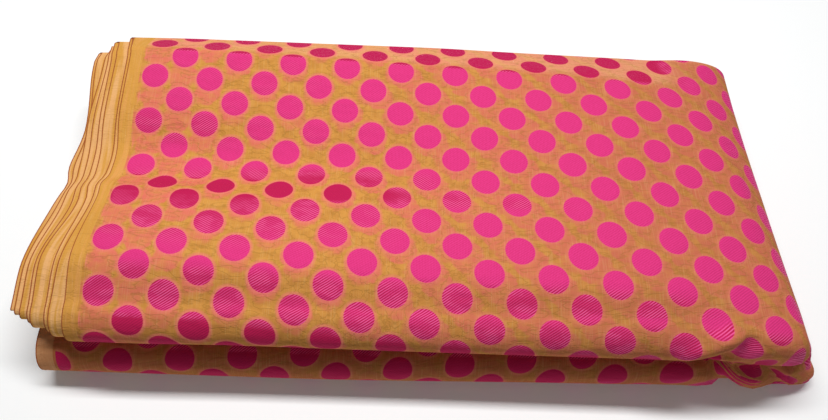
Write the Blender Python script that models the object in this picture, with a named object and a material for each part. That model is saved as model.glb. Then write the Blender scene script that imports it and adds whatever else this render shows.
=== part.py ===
"""A cut length of chanderi cloth, folded the way it is stacked on a counter.

The cut is laid back and forth along its length in plies, the plies are doubled over
towards the front, and the stack is then folded in half across the width of the cloth.
The thick fold is on the right and the selvedges lie fanned out on the left, an upper
bundle on a lower one. It is one sheet: a back-and-forth section of its layers, carried
through that last fold. Lengths are in metres, +Z is up and the front is at -Y.
"""

import math
from collections import namedtuple

import bpy

MM = 0.001
SHEET = 1.0 * MM  # thickness of the sheet that stands for the cloth
PARTING = 40 * MM  # height of the plane between the lower and the upper bundle
INNER_GAP = 1.3 * MM  # from the parting plane to the nearest layer
NOSE = 22 * MM  # how far the front turn of the outer ply stands out from its runs
NOSE_STEPS = 6  # straight pieces round a front turn
BOXED = 0.35  # how much squarer a front turn is at the fold on the right
BOXED_FROM = 150 * MM
BOXED_OVER = 60 * MM
FLARE_POWER = 2  # the fold on the right spreads mostly near the front
MOST_MITRE = 1.5  # how far past its thickness the sheet may reach at a sharp turn
INNERMOST = 0.6  # the first ply's share of a ply spacing, out from the middle
CLOTH_COLOUR = (0.62, 0.33, 0.09, 1.0)
CLOTH_ROUGHNESS = 0.6

# The lines that run from left to right over the bundle, from the back edge to the brow
# where the front turn begins. y is where a line lies in the middle, and skew is how far it
# moves to the front for each metre to the right. At the left end, wander is how far the
# outer ply's selvedge stands in from its mean, and fan is how wide the plies fan out.
Line = namedtuple("Line", "name y skew wander fan")
LINES = (
    Line("back", None, 0, -8 * MM, 0.6),
    Line("crease", 124 * MM, 0.03, -9 * MM, 0.65),
    Line("saddle", 62 * MM, 0.04, 3 * MM, 0.9),
    Line("valley", 24 * MM, 0.04, 5 * MM, 0.85),
    Line("foot", 3 * MM, 0.04, 2 * MM, 0.9),
    Line("lip", -18 * MM, 0.04, -3 * MM, 0.85),
    Line("crest", -72 * MM, 0.02, -1 * MM, 1.0),
    Line("brow", None, 0, 1 * MM, 1.1),
)

# One row for each section, from the upper left end round the fold to the lower left end.
# turn is how far the fold has turned, in degrees, and wide and wide_front are how much
# wider than high it is at the back and at the front. x and x_front are where the section
# stands there. front and back are how far the outer ply reaches. The rest are the outer
# ply's distances from the parting plane at the lines above.
Section = namedtuple(
    "Section",
    "turn wide wide_front x x_front front back edge crease saddle valley foot lip crest brow",
)
SECTIONS = [
    Section(*(row[:3] + tuple(value * MM for value in row[3:])))
    for row in (
        (0, 1, 1, -267, -267, 122, 149, 31, 45, 35, 25, 26, 38, 47.3, 37.5),
        (0, 1, 1, -215, -215, 122, 152, 29, 46, 35, 24, 26, 39, 48.5, 38),
        (0, 1, 1, -150, -150, 121, 152, 29, 46, 33, 25.5, 28.5, 38.5, 47.3, 38),
        (0, 1, 1, -85, -85, 121, 152, 29, 45, 34.5, 28, 32, 38.5, 45, 37.5),
        (0, 1, 1, -20, -20, 121, 152, 29, 44, 37, 33, 35.5, 39.5, 43.5, 37),
        (0, 1, 1, 60, 60, 121, 151, 28, 44, 42, 40, 40, 42.5, 44.5, 37.5),
        (0, 1, 1, 150, 152, 121, 150, 27, 42, 44, 44, 44, 44.5, 45, 39),
        (0, 1.88, 2.28, 188, 200, 120, 147, 29, 39, 41, 41, 41, 41.5, 42, 39),
        (36, 1.88, 2.28, 188, 200, 119, 148, 33, 37.5, 39, 39, 39, 39, 39.5, 39),
        (72, 1.85, 2.0, 188, 200, 119, 149, 35, 38.5, 39, 39, 39, 39, 39, 38.5),
        (108, 1.85, 2.35, 188, 200, 120, 149, 36, 39, 39, 39, 39, 39, 39, 38.5),
        (144, 2.15, 4.4, 188, 200, 123, 148, 37, 39, 39, 39, 39, 39, 39, 39),
        (162, 2.7, 7.2, 188, 200, 124, 147, 37, 39.5, 39.5, 39.5, 39.5, 39.5, 39.5, 39.5),
        (180, 2, 5, 188, 200, 126, 146, 36, 39.5, 39.5, 39.5, 39.5, 39.5, 39.5, 39.5),
        (180, 1, 1, 70, 70, 129, 146, 36, 39.5, 39.5, 39.5, 39.5, 39.5, 39.5, 39.5),
        (180, 1, 1, -120, -120, 132, 148, 36, 39.5, 39.5, 39.5, 39.5, 39.5, 39.5, 39.5),
        (180, 1, 1, -299, -299, 132, 147, 36, 39.5, 39.5, 39.5, 39.5, 39.5, 39.5, 39.5),
    )
]

# One row for each ply, from the middle of a bundle outwards. creep is how far its left
# end stands out past the outer ply's, above and below the parting plane. top_back and
# low_back are how far its two back ends stop short of the outer ply's.
Ply = namedtuple("Ply", "creep_upper creep_lower top_back low_back")
PLIES = [
    Ply(*(value * MM for value in row))
    for row in (
        (36, -7, 9, 12),
        (37, -6, 9, 6),
        (36, -4, 5, 6),
        (33, -3, 5, 8),
        (27, -1, 3, 8),
        (21, 2, 3, 4),
        (10, 1, 0, 4),
        (0, 0, 0, 2),
    )
]
CORNER = 1.4  # how many times further short they stop at the upper left corner


def clear_scene():
    for thing in list(bpy.data.objects):
        bpy.data.objects.remove(thing)


def line_places(section):
    """(y, outer distance) where each line crosses the section, from the back to the brow."""
    outer = section[-len(LINES):]
    middle = (section.x + section.x_front) / 2
    places = []
    for line, distance in zip(LINES, outer):
        if line.name == "back":
            y = section.back
        elif line.name == "brow":
            y = NOSE - section.front
        else:
            y = line.y - line.skew * middle
        places.append((y, distance))
    return places


def cut_short(places, by):
    """The places with the back end taken in along the slope that leads down to it."""
    (back_y, back_outer), (next_y, next_outer) = places[:2]
    share = by / (back_y - next_y)
    return [(back_y - by, back_outer + share * (next_outer - back_outer))] + places[1:]


def ply_points(section, number, end):
    """One ply's turn round the front: (y, distance, line) from its low to its top back end."""
    ply = PLIES[number]
    share = (number + INNERMOST) / (len(PLIES) - 1 + INNERMOST)
    places = line_places(section)
    corner = CORNER if end < 0 else 1
    low = run_points(cut_short(places, ply.low_back * corner), -share)
    top = run_points(cut_short(places, ply.top_back * corner), share)
    brow_y = low[-1][0]
    middle = (low[-1][1] + top[-1][1]) / 2
    spread = (top[-1][1] - low[-1][1]) / 2
    square = 1 - BOXED * min(max((section.x_front - BOXED_FROM) / BOXED_OVER, 0), 1)
    nose = []
    for step in range(1, NOSE_STEPS):
        angle = math.pi * step / NOSE_STEPS
        y = brow_y - NOSE * share * math.sin(angle) ** square
        rise = math.copysign(abs(math.cos(angle)) ** square, math.cos(angle))
        nose.append((y, middle - spread * rise, len(LINES) - 1))
    return low + nose + top[::-1]


def run_points(places, share):
    """(y, distance, line) of a run that lies at this share of the way from the bundle's
    middle to its outer face, or to the parting plane where the share is negative."""
    points = []
    for line, (y, outer) in enumerate(places):
        middle = (outer + INNER_GAP) / 2
        points.append((y, middle + share * (outer - INNER_GAP) / 2, line))
    return points


def section_points(section, end):
    """The whole back-and-forth section: (y, distance, line, ply, order) along the cloth.
    end is -1 at the upper left end of the cloth, 1 at the lower left and 0 between them."""
    points = []
    for number in range(len(PLIES)):
        run = [
            (y, distance, line, number, order)
            for order, (y, distance, line) in enumerate(ply_points(section, number, end), 1)
        ]
        if number % 2:
            run.reverse()
        if points:
            points.append(back_turn(points[-1], run[0]))
        points += run
    return points


def back_turn(end, start):
    """The tip of the small turn at the back that joins one ply to the next."""
    reach = abs(start[1] - end[1]) / 2
    order = end[4] + 1 if end[4] > 1 else 0
    return (end[0] + reach, (end[1] + start[1]) / 2, end[2], (end[3] + start[3]) / 2, order)


def face_points(points, side):
    """One face of the sheet: the points moved out by half its thickness, side 1 or -1."""
    moved = []
    for at, (y, distance, *rest) in enumerate(points):
        before = direction(points[max(at - 1, 0)], points[max(at, 1)])
        after = direction(points[min(at, len(points) - 2)], points[min(at + 1, len(points) - 1)])
        along_y, along_distance = before[0] + after[0], before[1] + after[1]
        length = math.hypot(along_y, along_distance)
        mitre = min(2 / length, MOST_MITRE) / length
        by = side * SHEET / 2 * mitre
        moved.append((y - by * along_distance, distance + by * along_y, *rest))
    return moved


def direction(start, end):
    """The direction from one section point to the next, as (y, distance)."""
    length = math.hypot(end[0] - start[0], end[1] - start[1])
    return ((end[0] - start[0]) / length, (end[1] - start[1]) / length)


def cloth_point(section, point, end):
    """A point of the section in its place in the folded stack."""
    y, distance, line, number, _ = point
    turned = math.radians(section.turn)
    to_front = (section.back - y) / (section.back + section.front)
    flare = to_front**FLARE_POWER
    wide = section.wide + (section.wide_front - section.wide) * flare
    x = section.x + (section.x_front - section.x) * flare + wide * distance * math.sin(turned)
    if end:
        nearest = (PLIES[math.floor(number)], PLIES[math.ceil(number)])
        creep = sum(ply.creep_upper if end < 0 else ply.creep_lower for ply in nearest) / 2
        x -= LINES[line].fan * creep
    if end < 0:
        x += LINES[line].wander
    return (x, y, PARTING + distance * math.cos(turned))


def sheet_mesh(name):
    """The folded sheet, lofted through the sections: its two faces, its two cut ends, which
    run the whole way round, and its two selvedges."""
    last = len(SECTIONS) - 1
    vertices = []
    for index, section in enumerate(SECTIONS):
        end = -1 if index == 0 else int(index == last)
        middle = section_points(section, end)
        for side in (-1, 1):
            row = face_points(middle, side)
            vertices += [cloth_point(section, point, end) for point in row]
    count = len(middle)
    rising = [one[4] < other[4] for one, other in zip(middle, middle[1:])]
    faces = []
    for index in range(last):
        near = 2 * count * index
        far = near + 2 * count
        for at, up in enumerate(rising):
            faces += split_quad(near + at, near + at + 1, far + at + 1, far + at, up)
            back = count + at
            faces += split_quad(near + back + 1, near + back, far + back, far + back + 1, not up)
        faces += split_quad(near + count, near, far, far + count, True)
        end = count - 1
        faces += split_quad(near + end, near + end + count, far + end + count, far + end, True)
    for at in range(count - 1):
        faces += split_quad(at, at + count, at + count + 1, at + 1, True)
        far = 2 * count * last + at
        faces += split_quad(far + 1, far + count + 1, far + count, far, True)
    mesh = bpy.data.meshes.new(name)
    mesh.from_pydata(centred(vertices), [], faces)
    return mesh


def split_quad(a, b, c, d, rising):
    """Two triangles. Every quad is split from the lower order to the higher, the same way in
    all the layers, so that neighbouring layers keep their distance."""
    return [(a, b, c), (a, c, d)] if rising else [(a, b, d), (b, c, d)]


def centred(vertices):
    """The vertices moved so that the stack stands on z = 0, centred on the origin."""
    lows = [min(vertex[axis] for vertex in vertices) for axis in range(3)]
    highs = [max(vertex[axis] for vertex in vertices) for axis in range(3)]
    shift = ((lows[0] + highs[0]) / 2, (lows[1] + highs[1]) / 2, lows[2])
    return [tuple(value - by for value, by in zip(vertex, shift)) for vertex in vertices]


def cloth_material():
    material = bpy.data.materials.new("gold_chanderi")
    material.use_nodes = True
    shader = material.node_tree.nodes["Principled BSDF"]
    shader.inputs["Base Color"].default_value = CLOTH_COLOUR
    shader.inputs["Roughness"].default_value = CLOTH_ROUGHNESS
    shader.inputs["Metallic"].default_value = 0.0
    return material


def folded_cloth(collection):
    mesh = sheet_mesh("folded_cloth")
    mesh.materials.append(cloth_material())
    cloth = bpy.data.objects.new("folded_cloth", mesh)
    collection.objects.link(cloth)
    return cloth


clear_scene()
chanderi = bpy.data.collections.new("chanderi_fabric")
bpy.context.scene.collection.children.link(chanderi)
folded_cloth(chanderi)
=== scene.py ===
import math
from collections import namedtuple

import bpy
import numpy as np
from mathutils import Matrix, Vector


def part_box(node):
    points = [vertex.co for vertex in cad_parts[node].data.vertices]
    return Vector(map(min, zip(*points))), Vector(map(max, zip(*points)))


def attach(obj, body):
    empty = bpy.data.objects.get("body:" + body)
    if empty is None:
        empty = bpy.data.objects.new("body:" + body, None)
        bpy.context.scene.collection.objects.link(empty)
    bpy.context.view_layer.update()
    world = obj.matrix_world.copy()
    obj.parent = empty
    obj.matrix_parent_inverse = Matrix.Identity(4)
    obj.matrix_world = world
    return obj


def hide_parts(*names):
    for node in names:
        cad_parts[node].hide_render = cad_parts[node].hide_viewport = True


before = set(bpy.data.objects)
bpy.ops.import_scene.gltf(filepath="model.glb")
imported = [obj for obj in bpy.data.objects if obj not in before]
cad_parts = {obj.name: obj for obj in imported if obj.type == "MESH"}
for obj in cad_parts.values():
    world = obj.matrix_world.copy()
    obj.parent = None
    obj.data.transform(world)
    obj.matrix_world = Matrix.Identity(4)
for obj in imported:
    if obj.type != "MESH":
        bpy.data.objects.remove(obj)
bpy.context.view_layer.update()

bpy.ops.object.select_all(action="DESELECT")

# ---------------------------------------------------------------- the eye
# The folded cut is looked down on from in front, close enough for its left and right
# sides to spread towards the front edge.
MM = 0.001
EYE = (-22.3 * MM, -286.9 * MM, 538.2 * MM)
EYE_TURN = (29.3, -1.54, 1.52)  # degrees
EYE_LENS = 30.43  # mm
SENSOR = 36  # mm wide

bpy.ops.object.camera_add(location=EYE, rotation=[math.radians(turn) for turn in EYE_TURN])
eye = bpy.context.object
eye.name = "eye"
eye.data.sensor_width = SENSOR
eye.data.lens = EYE_LENS
bpy.context.scene.camera = eye


# ---------------------------------------------------------------- the studio floor
# A sheet of matt white card that the cloth lies on. It is much larger than the view, so
# that no edge of it shows.
class Strand:
    """A shader socket to be used in Python expressions, which add their Math nodes."""

    def __init__(self, tree, socket=None):
        self.tree = tree
        self.socket = socket

    def node(self, kind, settings=None, inputs=None, output=0):
        """A new node: its settings first, then the values or links of its sockets."""
        new = self.tree.nodes.new("ShaderNode" + kind)
        for name, value in (settings or {}).items():
            setattr(new, name, value)
        for name, value in (inputs or {}).items():
            if isinstance(value, Strand):
                self.tree.links.new(value.socket, new.inputs[name])
            else:
                new.inputs[name].default_value = value
        return Strand(self.tree, new.outputs[output])

    def math(self, operation, *values):
        return self.node("Math", {"operation": operation}, dict(enumerate(values)))

    def __add__(self, other):
        return self.math("ADD", self, other)

    __radd__ = __add__

    def __sub__(self, other):
        return self.math("SUBTRACT", self, other)

    def __rsub__(self, other):
        return self.math("SUBTRACT", other, self)

    def __mul__(self, other):
        return self.math("MULTIPLY", self, other)

    __rmul__ = __mul__

    def __truediv__(self, other):
        return self.math("DIVIDE", self, other)

    def least(self, other):
        return self.math("MINIMUM", self, other)

    def most(self, other):
        return self.math("MAXIMUM", self, other)

    def steps(self, low, high):
        """0 below low, 1 above high and a smooth rise between them."""
        return self.node(
            "MapRange",
            {"interpolation_type": "SMOOTHSTEP"},
            {"Value": self, "From Min": low, "From Max": high},
        )

    def tint(self, start, end):
        """The colour start where this is 0 and end where it is 1."""
        return self.node("Mix", {"data_type": "RGBA"}, {0: self, 6: start, 7: end}, 2)


def new_material(name):
    """A material, and the Principled shader and the tree that it is built in."""
    material = bpy.data.materials.new(name)
    material.use_nodes = True
    tree = material.node_tree
    return material, tree.nodes["Principled BSDF"], Strand(tree)


FLOOR_REACH = 3.0
FLOOR_UNDER = 0.2 * MM  # how far it lies under the cloth's lowest point
CARD = (0.90, 0.91, 0.91, 1)
CARD_ROUGH = 0.9
CARD_GLOSS = 0.1
CARD_GLOW = 0.07  # what the card gets back from the white room round it

lowest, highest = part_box("folded_cloth")
bpy.ops.mesh.primitive_plane_add(
    size=2 * FLOOR_REACH, location=(0, 0, lowest.z - FLOOR_UNDER)
)
floor = bpy.context.object
floor.name = "white_floor"
bpy.ops.object.transform_apply(location=True)
card, card_shader, _ = new_material("white_card")
card_shader.inputs["Base Color"].default_value = CARD
card_shader.inputs["Roughness"].default_value = CARD_ROUGH
card_shader.inputs["Emission Color"].default_value = (1, 1, 1, 1)
card_shader.inputs["Emission Strength"].default_value = CARD_GLOW
card_shader.inputs["Specular IOR Level"].default_value = CARD_GLOSS
floor.data.materials.append(card)

# ---------------------------------------------------------------- the light
# A long soft lamp overhead, a little behind the cloth, and a white room all round. The
# lamp leaves the front of the stack, and a band of the floor before it, in soft shade.
LAMP_PLACE = (-0.07, 0.36, 1.45)
LAMP_LONG = 1.4
LAMP_DEEP = 0.16
LAMP_TURN = -14  # degrees, its face turned a little to the front
LAMP_POWER = 25  # watts
ROOM_LIGHT = 0.11

bpy.ops.object.light_add(type="AREA", location=LAMP_PLACE)
lamp = bpy.context.object
lamp.name = "overhead_softbox"
lamp.data.shape = "RECTANGLE"
lamp.data.size = LAMP_LONG
lamp.data.size_y = LAMP_DEEP
lamp.data.energy = LAMP_POWER
lamp.rotation_euler = (math.radians(LAMP_TURN), 0, 0)

room = bpy.data.worlds.new("white_room")
room.use_nodes = True
air = room.node_tree.nodes["Background"]
air.inputs["Color"].default_value = (1, 1, 1, 1)
air.inputs["Strength"].default_value = ROOM_LIGHT
bpy.context.scene.world = room
bpy.context.scene.view_settings.view_transform = "Standard"

# ---------------------------------------------------------------- the outer ply
# The cut is one length of sheer chanderi, woven in gold with spots of pink silk. It is laid
# back and forth in plies, doubled over to the front and folded in half. This piece is the
# ply that wraps the whole stack, from the turn at its top back edge round to the groove.
PARTING = 40 * MM  # height of the plane between the lower and the upper bundle
INNER_GAP = 1.3 * MM  # from the parting plane to the nearest layer
NOSE = 22 * MM  # how far the front turn of the outer ply stands out from its runs
INNERMOST = 0.6  # the first ply's share of a ply spacing, out from the middle
PRESSED = 1.2 * MM  # how round the pressed crease along the back is
CORNER = 1.4  # how many times further short the back ends stop at the upper left corner
CORNER_REACH = 50 * MM  # how far to the right the left ends' unevenness reaches
BOXED = 0.35  # how much squarer the front turn is at the fold on the right
BOXED_FROM = 150 * MM  # where it starts to be squarer
BOXED_OVER = 60 * MM  # and how far on it is squarest
WIDTH = 1.12  # of the cut, from selvedge to selvedge
LEFT_END = 306.73 * MM  # how far left of the sections' own origin the stack ends
BACK_EDGE = 153.62 * MM  # how far behind it the stack ends

# The lines that run from left to right over the bundle, from the back edge to the brow
# where the front turn begins. y is where a line lies in the middle, and skew is how far it
# moves to the front for each metre to the right. The sections give the outermost two.
Line = namedtuple("Line", "name y skew")
LINES = (
    Line("back", None, 0),
    Line("crease", 118 * MM, 0.03),
    Line("saddle", 62 * MM, 0.04),
    Line("valley", 24 * MM, 0.04),
    Line("foot", 3 * MM, 0.04),
    Line("lip", -18 * MM, 0.04),
    Line("crest", -72 * MM, 0.02),
    Line("brow", None, 0),
)

# One row for each section, from the upper left end round the fold to the lower left end.
# turn is how far the fold has turned, in degrees, and wide and wide_front are how much
# wider than high it is at the back and at the front. x and x_front are where the section
# stands there. front and back are how far the outer ply reaches. The rest are the outer
# ply's distances from the parting plane, at its back edge and at the lines above.
Section = namedtuple(
    "Section",
    "turn wide wide_front x x_front front back edge crease saddle valley foot lip crest brow",
)
SECTIONS = [
    Section(*(row[:3] + tuple(value * MM for value in row[3:])))
    for row in (
        (0, 1, 1, -267, -267, 122, 149, 31, 45, 35, 25, 26, 38, 47.3, 37.5),
        (0, 1, 1, -215, -215, 122, 152, 29, 46, 35, 24, 26, 39, 48.5, 38),
        (0, 1, 1, -150, -150, 121, 152, 29, 46, 33, 25.5, 28.5, 38.5, 47.3, 38),
        (0, 1, 1, -85, -85, 121, 152, 29, 45, 34.5, 28, 32, 38.5, 45, 37.5),
        (0, 1, 1, -20, -20, 121, 152, 29, 44, 37, 33, 35.5, 39.5, 43.5, 37),
        (0, 1, 1, 60, 60, 121, 151, 28, 44, 42, 40, 40, 42.5, 44.5, 37.5),
        (0, 1, 1, 150, 152, 121, 150, 27, 42, 44, 44, 44, 44.5, 45, 39),
        (6, 1.88, 2.28, 181, 192, 120, 148, 28.5, 37.5, 40.5, 41, 41, 41.5, 42, 39),
        (36, 1.94, 2.24, 188, 200, 119, 150, 32.5, 34.5, 38, 39, 39, 39, 39.5, 39),
        (72, 1.9, 1.96, 188, 200, 119, 151, 37, 37.5, 38.5, 39, 39, 39, 39, 38.5),
        (108, 1.9, 2.3, 188, 200, 120, 150, 38, 39, 39, 39, 39, 39, 39, 38.5),
        (144, 2.15, 4.25, 188, 200, 123, 148, 37, 39, 39, 39, 39, 39, 39, 39),
        (162, 2.7, 6.8, 188, 200, 124, 147, 37, 39.5, 39.5, 39.5, 39.5, 39.5, 39.5, 39.5),
        (180, 2, 5, 188, 200, 126, 146, 36, 39.5, 39.5, 39.5, 39.5, 39.5, 39.5, 39.5),
        (180, 1, 1, 70, 70, 129, 146, 36, 39.5, 39.5, 39.5, 39.5, 39.5, 39.5, 39.5),
        (180, 1, 1, -120, -120, 132, 148, 36, 39.5, 39.5, 39.5, 39.5, 39.5, 39.5, 39.5),
        (180, 1, 1, -296, -296, 132, 147, 36, 39.5, 39.5, 39.5, 39.5, 39.5, 39.5, 39.5),
    )
]

# One row for each ply, from the middle of a bundle outwards. The first columns are how far
# its upper left selvedge stands out at each line, and lower how far its lower one does.
# top_back and low_back are how far its two back ends stop short of the outer ply's.
Ply = namedtuple(
    "Ply", "back crease saddle valley foot lip crest brow lower top_back low_back"
)
PLIES = [
    Ply(*(value * MM for value in row))
    for row in (
        (38, 37, 31, 36, 32, 35, 42, 42, -7, 9, 12),
        (34, 33.5, 28, 31.5, 28.5, 30, 38, 38, -6, 9, 6),
        (26.5, 26, 28, 26.5, 25, 25, 33, 33, -4, 5, 6),
        (27, 21.5, 23, 20.5, 19.5, 17, 27, 26.5, -3, 5, 8),
        (24.5, 17.5, 17, 15, 14.5, 11.5, 23, 23, -1, 3, 8),
        (20, 12.5, 13, 10, 9, 4.5, 11, 12, 2, 3, 4),
        (10, 2, 2, 0, 1, -1.5, 6, 8, 1, 0, 4),
        (7, -1.5, -1, -4, -3.5, -6, -2.5, -3, 0, 0, 2),
    )
]

# Into how many steps a ply is divided: round the stack, down the slope behind the crease,
# from the crease to the brow above and below, round the front turn, and round half a small
# back turn.
Fineness = namedtuple("Fineness", "around slope top low front turn")
OUTER = Fineness(330, 12, 120, 24, 30, 3)
INNER = Fineness(90, 4, 40, 8, 10, 3)


def through(keys, values, at):
    """A smooth curve through the values at the keys, which never overshoots them."""
    keys, values = np.asarray(keys, float), np.asarray(values, float)
    span = np.diff(keys)
    rise = np.diff(values) / span
    before, after = rise[:-1], rise[1:]
    total = np.where(before * after > 0, before + after, 1)
    inner = np.where(before * after > 0, 2 * before * after / total, 0)
    slope = np.concatenate((rise[:1], inner, rise[-1:]))
    piece = np.clip(np.searchsorted(keys, at, side="right") - 1, 0, len(span) - 1)
    part = (at - keys[piece]) / span[piece]
    start, end = values[piece], values[piece + 1]
    bend = part * part * (3 - 2 * part)
    pull = slope[piece] * part * (1 - part) ** 2 - slope[piece + 1] * part**2 * (1 - part)
    return start + (end - start) * bend + span[piece] * pull


def stations(count):
    """The sections, smoothly filled in to this many steps round the stack."""
    table = np.array(SECTIONS)
    turn = np.radians(table[:, 0])
    foot = table[:, Section._fields.index("foot")]
    x = table[:, Section._fields.index("x")]
    wide = table[:, Section._fields.index("wide")]
    reach = x + wide * foot * np.sin(turn)
    height = foot * np.cos(turn)
    steps = np.hypot(np.diff(reach), np.diff(height))
    keys = np.concatenate(([0], np.cumsum(steps)))
    at = np.linspace(0, keys[-1], count + 1)
    columns = [through(keys, column, at) for column in table.T]
    return [Section(*row) for row in np.transpose(columns)]


def lines_at(section):
    """Where the lines between the back edge and the brow cross this section."""
    middle = (section.x + section.x_front) / 2
    return [line.y - line.skew * middle for line in LINES[1:-1]]


def outer_distance(section, y):
    """How far the outer ply's top run stands from the parting plane at y."""
    keys = np.array([NOSE - section.front] + lines_at(section)[::-1])
    values = np.array(section[-len(keys) :])[::-1]
    inside = np.clip(y, keys[0], keys[-1])
    top = through(keys, values, inside)
    drop = (section.crease - section.edge) / (section.back - keys[-1])
    slope = section.crease - drop * (y - keys[-1])
    return (top + slope - np.sqrt((top - slope) ** 2 + PRESSED**2)) / 2


def run(section, share, short, fine, along_top):
    """One run of a ply, from its back end to its brow: y and distance from the parting.
    share is how far out the ply lies, from 0 in the middle to 1, and below 0 underneath."""
    crease = lines_at(section)[0]
    slope = np.linspace(section.back - short, crease, fine.slope + 1)
    steps = fine.top if along_top else fine.low
    rest = np.linspace(crease, NOSE - section.front, steps + 1)
    y = np.concatenate((slope, rest[1:]))
    outer = outer_distance(section, y)
    return y, (outer + INNER_GAP) / 2 + share * (outer - INNER_GAP) / 2


def ply_path(section, number, fine):
    """A ply's way round its front turn: y and distance, from its low to its top back end."""
    ply = PLIES[number]
    share = (number + INNERMOST) / (len(PLIES) - 1 + INNERMOST)
    left = np.clip(1 - (section.x - SECTIONS[0].x) / CORNER_REACH, 0, 1) * (section.turn < 1)
    corner = 1 + (CORNER - 1) * left
    low_y, low = run(section, -share, ply.low_back * corner, fine, False)
    top_y, top = run(section, share, ply.top_back * corner, fine, True)
    angle = np.pi * np.arange(1, fine.front) / fine.front
    middle, spread = (low[-1] + top[-1]) / 2, (top[-1] - low[-1]) / 2
    square = 1 - BOXED * np.clip((section.x_front - BOXED_FROM) / BOXED_OVER, 0, 1)
    nose_y = low_y[-1] - NOSE * share * np.sin(angle) ** square
    nose = middle - spread * np.sign(np.cos(angle)) * np.abs(np.cos(angle)) ** square
    return np.concatenate((low_y, nose_y, top_y[::-1])), np.concatenate((low, nose, top[::-1]))


def creep_at(section, number, y):
    """How far a ply's left end stands out at each y, fading out towards the right."""
    ply = PLIES[number]
    if section.turn >= 90:
        share = np.clip(1 - (section.x - SECTIONS[-1].x) / CORNER_REACH, 0, 1)
        return np.full(len(y), ply.lower * share)
    share = np.clip(1 - (section.x - SECTIONS[0].x) / CORNER_REACH, 0, 1)
    keys = [NOSE - section.front] + [line.y for line in LINES[1:-1]][::-1] + [section.back]
    standing_out = ply[: len(LINES)][::-1]
    return share * through(keys, standing_out, np.clip(y, keys[0], keys[-1]))


def back_turn(start, end, steps):
    """The small round turn at the back between the ends of two plies."""
    centre = ((start[0] + end[0]) / 2, (start[1] + end[1]) / 2)
    radius = abs(end[1] - start[1]) / 2
    angle = np.pi * np.arange(1, 2 * steps) / (2 * steps)
    slant = (start[0] - end[0]) / 2 * np.cos(angle)
    way = 1 if end[1] > start[1] else -1
    return centre[0] + radius * np.sin(angle) + slant, centre[1] - way * radius * np.cos(angle)


def cloth_section(section, numbers, fine):
    """Points of the back-and-forth section through these plies: x, y and z columns."""
    ys, distances, creeps = [], [], []
    for number in numbers:
        y, distance = ply_path(section, number, fine)
        if number % 2:
            y, distance = y[::-1], distance[::-1]
        creep = creep_at(section, number, y)
        if ys:
            turn = back_turn((ys[-1][-1], distances[-1][-1]), (y[0], distance[0]), fine.turn)
            ys.append(turn[0])
            distances.append(turn[1])
            creeps.append(np.linspace(creeps[-1][-1], creep[0], len(turn[0])))
        ys.append(y)
        distances.append(distance)
        creeps.append(creep)
    y, distance, creep = (np.concatenate(each) for each in (ys, distances, creeps))
    turned = math.radians(section.turn)
    to_front = np.clip((section.back - y) / (section.back + section.front), 0, 1)
    flare = to_front**2
    wide = section.wide + (section.wide_front - section.wide) * flare
    x = section.x + (section.x_front - section.x) * flare
    x = x + wide * distance * math.sin(turned) - creep
    return np.stack((x, y, PARTING + distance * math.cos(turned)), axis=1)


def lengths(points, axis):
    """How far along the cloth each point lies, measured over its surface."""
    steps = np.linalg.norm(np.diff(points, axis=axis), axis=2)
    zero = np.zeros_like(np.take(steps, [0], axis=axis))
    return np.cumsum(np.concatenate((zero, steps), axis=axis), axis=axis)


PLAIN_BAND = 12.5 * MM  # along each selvedge
BEHIND_CREASE = 43 * MM  # from the crease to the turn at the back
UPPER_TO = 50  # degrees that the fold has turned where the upper half ends
LOWER_FROM = 179  # and where the lower half begins
ROW_SKEW = 0.0066  # how far a row of spots moves to the front for each step to the right
LOWER_SKEW = 0.06  # the same on the lower half
LOWER_SHIFT = 15 * MM  # how much nearer to the crease the rows of the lower half lie
SNUG = 0.008  # how much closer together than woven the spots lie along the crease
SPREAD = 0.09  # how much closer still for each metre behind it, and wider before it
SPREAD_BACK = 55 * MM  # as far behind the crease as that goes on
SPREAD_FRONT = 60 * MM  # and as far before it
SAG = 0.1  # how fast the rows bow to the front on the right of the upper half
SAG_FROM = 0.25  # from the selvedge
SAG_OVER = 0.25


def flat_places(points, turns, inside, fine):
    """Where each point lies on the flat cut: across it from the upper selvedge, and along
    it from the crease, to the front on the outer ply and back over the turn inside."""
    across = lengths(points, 0)
    upper, lower = np.argmax(turns > UPPER_TO), np.argmax(turns > LOWER_FROM)
    share = np.clip((across - across[upper]) / (across[lower] - across[upper]), 0, 1)
    across = across + share * (WIDTH - across[-1])
    along = lengths(points, 1)
    if inside:
        along = along - along[:, -1:] - BEHIND_CREASE
    else:
        crease = 2 * fine.turn + fine.slope
        along = along - along[:, crease : crease + 1]
        # the spots stay in line where the selvedge stands in or out
        standing_in = points[0, :, 0] - SECTIONS[0].x
        across = across + standing_in * np.clip(across / PLAIN_BAND, 0, 1) * (1 - share)
        spread = SPREAD * np.clip(-along, -SPREAD_FRONT, SPREAD_BACK)
        across = across * (1 + (1 - share) * (SNUG + spread))
        along = along - SAG * np.clip(across - SAG_FROM, 0, SAG_OVER) ** 2
    skew = ROW_SKEW + (LOWER_SKEW - ROW_SKEW) * share
    return across, along - skew * (points[:, :, 0] - SECTIONS[0].x) + LOWER_SHIFT * share


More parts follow.
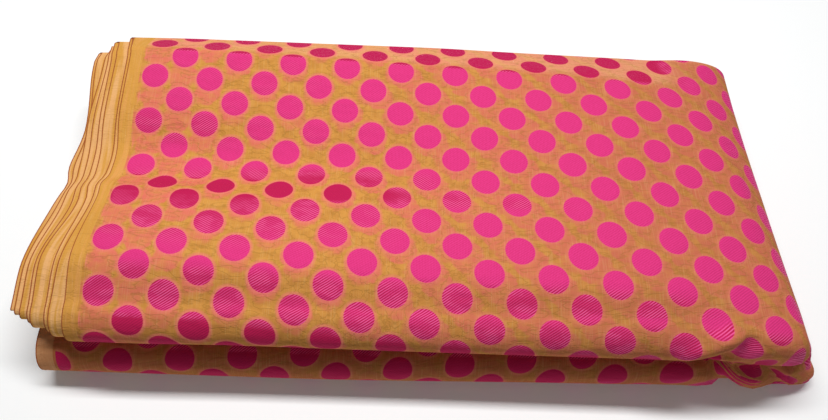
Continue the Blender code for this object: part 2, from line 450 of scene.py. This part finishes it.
# Creases and swellings that go through all the plies. Each runs from one place to another
# in the stack, and moves what lies within its reach by its push, in millimetres.
Crease = namedtuple("Crease", "start end reach push")
CREASES = (
    # the pinched front corner of the lower bundle, at the fold
    Crease((205, -120, 38), (223, -121, 4), 11, (0, 9, 1)),
    Crease((230, -121, 33), (241, -121, 12), 13, (0, -3, -1)),
    Crease((241, -121, 38), (262, -120, 13), 8, (-1, 7, 0)),
    # the groove going on into the corner
    Crease((220, -121, 41), (262, -120, 37), 8, (0, 6, 0)),
    Crease((262, -120, 37), (285, -107, 43), 8, (-4, 4, 0)),
    # the lower edge lifting off the floor beside it
    Crease((155, -116, 2), (180, -116, 2), 24, (0, 1, 4)),
    # the slanting dip in the front of the upper bundle, and the swelling before it
    Crease((184, -121, 50), (214, -112, 69), 12, (0, 8, -4)),
    Crease((172, -121, 64), (203, -109, 80), 11, (0, -3, 3)),
)
INSIDE_WIDER = 5 * MM  # how much further the creases reach inside, to clear the outer ply


def creased(points, wider):
    """These points moved by the creases near them, whose reach is this much wider."""
    moved = points.copy()
    for crease in CREASES:
        start, end = np.array(crease.start) * MM, np.array(crease.end) * MM
        way = end - start
        part = np.clip((points - start) @ way / (way @ way), 0, 1)
        away = np.linalg.norm(points - start - part[..., None] * way, axis=-1)
        near = np.clip(1 - away / (crease.reach * MM + wider), 0, 1)
        moved += (near * near * (3 - 2 * near))[..., None] * (np.array(crease.push) * MM)
    return moved


def flat_grid(name, stations_round, points_along):
    """A flat grid, and which station and which point of the folds each vertex is."""
    bpy.ops.mesh.primitive_grid_add(
        x_subdivisions=stations_round - 1, y_subdivisions=points_along - 1, size=2
    )
    cloth = bpy.context.object
    cloth.name = name
    places = np.empty(len(cloth.data.vertices) * 3)
    cloth.data.vertices.foreach_get("co", places)
    places = places.reshape(-1, 3)
    station = np.rint((places[:, 0] + 1) / 2 * (stations_round - 1)).astype(int)
    point = np.rint((1 - places[:, 1]) / 2 * (points_along - 1)).astype(int)
    return cloth, station, point


def draw_flat_cut(cloth, across, along):
    """Keeps each vertex's place on the flat cut as the cloth's UV map."""
    cloth.data.uv_layers[0].name = "flat_cut"
    corner = np.empty(len(cloth.data.loops), int)
    cloth.data.loops.foreach_get("vertex_index", corner)
    flat = np.stack((across, along), axis=1)
    cloth.data.uv_layers[0].data.foreach_set("uv", flat[corner].ravel())


TO_BACK = 4.2  # how many times more a slope to the back counts than one to the front, in the painted shade and sheen


def keep_lean(cloth):
    """Keeps how steeply each vertex leans to the front or the back, for the painted shade and
    sheen of its colours.
    """
    normals = np.array([vertex.normal for vertex in cloth.data.vertices])
    upright = np.maximum(np.hypot(normals[:, 1], normals[:, 2]), 0.001)
    tilt = 1 - abs(normals[:, 2]) / upright
    to_back = normals[:, 1] * normals[:, 2] > 0
    lean = cloth.data.attributes.new("lean", "FLOAT", "POINT")
    lean.data.foreach_set("value", np.where(to_back, TO_BACK * tilt, tilt))


def laid_cloth(name, numbers, fine, inside):
    """A flat grid laid in the folds of these plies. The outer ply is laid with the ply
    inside it, which is then left out."""
    rows = stations(fine.around)
    points = np.array([cloth_section(row, numbers, fine) for row in rows])
    if not inside:
        left_out = len(ply_path(rows[0], numbers[0], fine)[0]) - 1
        points = points[:, left_out:]
    across, along = flat_places(points, np.array([row.turn for row in rows]), inside, fine)
    points = creased(points, INSIDE_WIDER if inside else 0)
    cloth, station, point = flat_grid(name, points.shape[0], points.shape[1])
    cloth.data.vertices.foreach_set("co", points[station, point].ravel())
    draw_flat_cut(cloth, across[station, point], along[station, point])
    cloth.data.update()
    keep_lean(cloth)
    bpy.ops.object.shade_smooth()
    return cloth


# The pattern: spots in rows, each row half a spacing on from the last, with a plain band
# along each selvedge. Places run across the flat cut from the upper selvedge, and along it
# from the crease.
SPOT_PITCH = 45.64 * MM
ROW_PITCH = 20.05 * MM
SPOT_RADIUS = 10.9 * MM
FIRST_SPOT = 25.7 * MM  # from the selvedge
FIRST_ROW = -14.4 * MM  # from the crease
RAGGED = 0.5 * MM  # how unevenly the silk ends at a spot's edge
SOFT = 0.35 * MM  # and how softly
HALO_FROM = 0.2 * MM  # the ring round a spot, partly short floats and partly painted sheen, out from a spot's edge
HALO_TO = 3.2 * MM
LOWER_HALF = (0.60, 0.66)  # across the cut, where the upper half gives way to the lower
LOWER_SPOTS = 8 * MM  # how much further on the lower half's spots lie
RIGHT = (140 * MM, 320 * MM)  # across the cut, where the right part begins and is full
# across the cut, where the painted shade towards the far right begins and is full
FAR_RIGHT_SHADE = (300 * MM, 430 * MM)
LEFT = (40 * MM, 110 * MM)  # across the cut, where the left part starts to end and ends
FRONT = (150 * MM, 200 * MM)  # along the cut, where the front begins and is full
BACK = -14 * MM  # along the cut, from where all is behind the crease
EVEN_FROM = (205 * MM, 218 * MM)  # along the cut, the row of spots at the brow
EVEN_TO = (234 * MM, 244 * MM)
INSIDE = (-200 * MM, -100 * MM)  # along the cut, where only the inner plies lie
TWILL_PITCH = 1.95 * MM
TWILL_SLANT = 0.75
MESH_PITCH = 1.1 * MM

GOLD = (0.66, 0.32, 0.060, 1)  # the sheer ground
OLIVE = (0.56, 0.27, 0.045, 1)  # and its darker clouds
SALMON = (0.75, 0.175, 0.12, 1)  # a spot below, seen through the ground
PEACH = (0.80, 0.37, 0.12, 1)  # the plain bands, where more light comes through
FADED = (0.97, 0.62, 0.36, 1)  # and in the lower half and inside
RUST_AND_SHADE = (0.44, 0.13, 0.06, 1)  # the ground over many layers at the right, and painted shade towards the far right
FRONT_SHADE = (0.42, 0.16, 0.045, 1)  # painted shade on the ground where it leans to the front
LOWER_SHADE = (0.33, 0.10, 0.03, 1)  # painted shade on the lower half
BACK_SHEEN = (0.90, 0.42, 0.24, 1)  # painted sheen on the slope behind the crease
HALO = (0.84, 0.20, 0.17, 1)  # the ring round a spot: short floats, and a painted sheen
WEFT = (0.34, 0.17, 0.03, 1)
SLUB = (0.85, 0.62, 0.30, 1)
# painted shade in the thin wrinkles of the ground
WRINKLE_SHADE = (0.30, 0.15, 0.025, 1)
SHADED_CRIMSON = (0.51, 0.016, 0.085, 1)  # the silk leaning away, darkened as painted shade
SHEEN_PINK = (0.77, 0.050, 0.245, 1)  # the silk lying flat, lightened with a painted sheen
GLINT = (0.92, 0.22, 0.42, 1)  # a painted glint on its twill lines in a bend
EDGE = (0.36, 0.10, 0.03, 1)  # the outermost threads of a selvedge

SHEEN = 0.03
SHEEN_COLOUR = (1.0, 0.2, 1.0, 1)
METALLIC = 0.05
GROUND_ROUGH = 0.85
SILK_SMOOTHER = 0.33  # how much less rough than the ground the silk is
RELIEF = 1.0 * MM
RELIEF_STRENGTH = 0.9


def spot_distance(across, along):
    """How far each place lies from the middle of the nearest spot."""
    nearest = None
    for odd in (0, 1):
        step = across - (FIRST_SPOT + odd * SPOT_PITCH / 2)
        beside = step.math("WRAP", step, SPOT_PITCH / 2, -SPOT_PITCH / 2)
        step = along - (FIRST_ROW + odd * ROW_PITCH)
        above = step.math("WRAP", step, ROW_PITCH, -ROW_PITCH)
        away = beside.math("SQRT", beside * beside + above * above)
        nearest = away if nearest is None else nearest.least(away)
    return nearest


def grain(web, across, along, wide, high, detail=2.0):
    """Noise from 0 to 1 whose patches are this wide and high on the flat cloth."""
    place = web.node("CombineXYZ", inputs={0: across / wide, 1: along / high})
    settings = {"noise_dimensions": "2D"}
    return web.node("TexNoise", settings, {"Vector": place, "Scale": 1.0, "Detail": detail})


def spots_below(web, across, along, right, cloudy):
    """Where spots of the next layers show through the ground: between these spots at the
    left, under them in the middle, and in slanting rows at the right."""
    drift = (grain(web, across, along, 60 * MM, 45 * MM) - 0.5) * (11 * MM)
    left = 1 - across.steps(*LEFT)
    below = spot_distance(
        across - right * (7 * MM) + drift,
        along - right * (6 * MM) - left * (17 * MM) - 3 * MM,
    )
    deeper = spot_distance(
        across + right * (5 * MM) - drift,
        along + right * (5 * MM) - left * (12 * MM) - 6 * MM - drift,
    )
    reach = SPOT_RADIUS + right * (1.6 * MM) + (cloudy - 0.5) * (5 * MM)
    next_layer = 1 - (below - reach).steps(-1 * MM, 1.5 * MM)
    next_but_one = 0.7 * (1 - (deeper - reach).steps(-2 * MM, 2.5 * MM))
    return next_layer.most(next_but_one)


def floated_silk(web, across, along, thread, twill, sloping):
    """The colour of the spots' silk, with painted sheen and shade: pink where it lies flat and
    crimson where it leans, with a fine mesh all over, and painted glints on the twill lines that
    show most where it starts to bend."""
    patchy = grain(web, across, along, 16 * MM, 9 * MM).steps(0.4, 0.6)
    mesh = thread.math("SINE", across * (2 * math.pi / MESH_PITCH)) * 0.5 + 0.5
    # bright carries painted shade: the silk goes from pink to crimson as it leans
    bright = 0.38 + 0.42 * thread + 0.3 * mesh + 0.22 * (twill - 0.5) - 0.95 * sloping
    # a painted glint on the twill where the silk starts to bend
    bending = sloping * (1 - sloping) * 4 * (0.35 + 0.65 * patchy)
    bright = bright + bending * (twill.steps(0.3, 0.7) - 0.45) * 1.3
    lines = bending * twill.steps(0.45, 0.95) * 0.42
    return lines.tint(bright.tint(SHADED_CRIMSON, SHEEN_PINK), GLINT)


def spotted_chanderi(name):
    """Sheer gold cloth with spots of floated silk. The spots of the layers below show
    through the ground as soft salmon patches."""
    material, shader, web = new_material(name)
    place = web.node("UVMap", {"uv_map": "flat_cut"})
    across = web.node("SeparateXYZ", inputs={0: place}, output=0)
    along = web.node("SeparateXYZ", inputs={0: place}, output=1)

    # The parts of the cut: its figured field between the plain bands, its lower half, and
    # the right, front and back of what lies on top.
    from_edge = across.least(WIDTH - across)
    field = from_edge.steps(PLAIN_BAND - 0.4 * MM, PLAIN_BAND + 0.4 * MM)
    figured = from_edge.steps(PLAIN_BAND + 1.8 * MM, PLAIN_BAND + 2 * MM)
    lower = across.steps(*LOWER_HALF)
    right = across.steps(*RIGHT)
    front = along.steps(*FRONT)
    behind = 1 - along.steps(BACK, 0)
    inside = 1 - along.steps(*INSIDE)

    # How steeply it leans, from 0 to 1: more at the front, and evenly over one row there. It
    # sets the painted shade, sheen and glints.
    lean = web.node("Attribute", {"attribute_name": "lean"}, output=2)
    sloping = (lean * (1 + 0.6 * front)).steps(0.0, 0.15)
    even = along.steps(*EVEN_FROM) * (1 - along.steps(*EVEN_TO))
    sloping = sloping + even * (0.4 - sloping) * 0.8

    # The spots, and the ring round each, of short floats with a painted sheen.
    away = spot_distance(across - lower * LOWER_SPOTS, along)
    ragged = away + (grain(web, across, along, 0.9 * MM, 0.9 * MM) - 0.5) * RAGGED
    spot = (1 - ragged.steps(SPOT_RADIUS - SOFT, SPOT_RADIUS + SOFT)) * figured
    ring = (1 - ragged.steps(SPOT_RADIUS + HALO_FROM, SPOT_RADIUS + HALO_TO)) * figured

    # Fine weft lines and slubs, the slanting twill of the spots, and the soft crinkles of
    # the ground with a thin wrinkle between them, darkened with painted shade.
    thread = grain(web, across, along, 2.2 * MM, 0.55 * MM, 1.0)
    slub = grain(web, across, along, 0.7 * MM, 18 * MM)
    slant = along + across * TWILL_SLANT + (grain(web, across, along, 9 * MM, 9 * MM) - 0.5) * MM
    twill = slant.math("SINE", slant * (2 * math.pi / TWILL_PITCH)) * 0.5 + 0.5
    crinkle = grain(web, across + along * 0.9 * right, along, 17 * MM, 6.5 * MM)
    wrinkle = 1 - crinkle.math("ABSOLUTE", crinkle - 0.5).steps(0.0, 0.05)
    cloudy = grain(web, across, along, 9 * MM, 6 * MM, 3.0)
    worn = grain(web, across, along, 4 * MM, 70 * MM)

    # The ground, with one tint over another: its own colours, and painted shade and sheen where
    # it leans, on the lower half, towards the far right and in its wrinkles.
    ground = (cloudy.steps(0.35, 0.65) * field).tint(GOLD, OLIVE)
    under = 0.12 + 0.88 * spots_below(web, across, along, right, cloudy)
    for share, colour in (
        (under * (0.3 + 1.0 * cloudy) * field, SALMON),
        ((1 - field) * worn.steps(0.4, 0.7) * 0.5, PEACH),
        ((1 - field) * (0.7 * lower + inside * worn.steps(0.35, 0.6) * 0.3), FADED),
        # the right's own deeper ground, and painted shade towards the far right
        (right * (0.1 + 0.3 * cloudy) + across.steps(*FAR_RIGHT_SHADE) * 0.3, RUST_AND_SHADE),
        # painted shade where the ground leans to the front
        (sloping * front * 0.4, FRONT_SHADE),
        # painted shade over the lower half
        (lower * 0.22 * field, LOWER_SHADE),
        # painted sheen on the ground behind the crease
        (sloping * behind * field * 0.45, BACK_SHEEN),
        (ring * (0.75 - 0.42 * right), HALO),
        (thread.steps(0.35, 0.7) * 0.12, WEFT),
        (slub.steps(0.5, 0.75) * 0.12, SLUB),
        # painted shade along the thin wrinkles
        (wrinkle * 0.34 * field * (1 - ring), WRINKLE_SHADE),
    ):
        ground = share.tint(ground, colour)

    silk = floated_silk(web, across, along, thread, twill, sloping)
    edge = 1 - from_edge.steps(0.6 * MM, 1.1 * MM)
    colour = edge.tint(spot.tint(ground, silk), EDGE)
    web.tree.links.new(colour.socket, shader.inputs["Base Color"])
    rough = GROUND_ROUGH - SILK_SMOOTHER * spot
    web.tree.links.new(rough.socket, shader.inputs["Roughness"])
    shader.inputs["Metallic"].default_value = METALLIC
    shader.inputs["Specular IOR Level"].default_value = SHEEN
    shader.inputs["Specular Tint"].default_value = SHEEN_COLOUR

    soft = grain(web, across, along, 17 * MM, 9 * MM, 1.0)
    height = (
        (1 - away.steps(SPOT_RADIUS - 3 * MM, SPOT_RADIUS + 1.5 * MM)) * 0.35 * field
        + (1 - spot) * (crinkle * 0.5 - wrinkle * 0.12)
        + soft * 0.7
        + spot * twill * 0.16
        + (thread + slub) * 0.05
    )
    bump = web.node(
        "Bump", inputs={"Strength": RELIEF_STRENGTH, "Distance": RELIEF, "Height": height}
    )
    web.tree.links.new(bump.socket, shader.inputs["Normal"])
    return material


outer_ply = laid_cloth("chanderi_outer_ply", [6, 7], OUTER, inside=False)
outer_ply.data.materials.append(spotted_chanderi("spotted_chanderi"))
settle = (lowest.x + LEFT_END, highest.y - BACK_EDGE, 0)
bpy.ops.transform.translate(value=settle)
bpy.ops.object.transform_apply(location=True)
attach(outer_ply, "root")
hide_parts("folded_cloth")
bpy.ops.object.select_all(action="DESELECT")

# ---------------------------------------------------------------- the inner plies
# The rest of the same length: seven plies, laid back and forth inside the outer one. Their
# selvedges fan out on the left and their small turns show along the back.
inner_plies = laid_cloth("chanderi_inner_plies", [0, 1, 2, 3, 4, 5, 6], INNER, inside=True)
inner_plies.data.materials.append(outer_ply.data.materials[0])
bpy.ops.transform.translate(value=settle)
bpy.ops.object.transform_apply(location=True)
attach(inner_plies, "root")
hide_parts("folded_cloth")
bpy.ops.object.select_all(action="DESELECT")
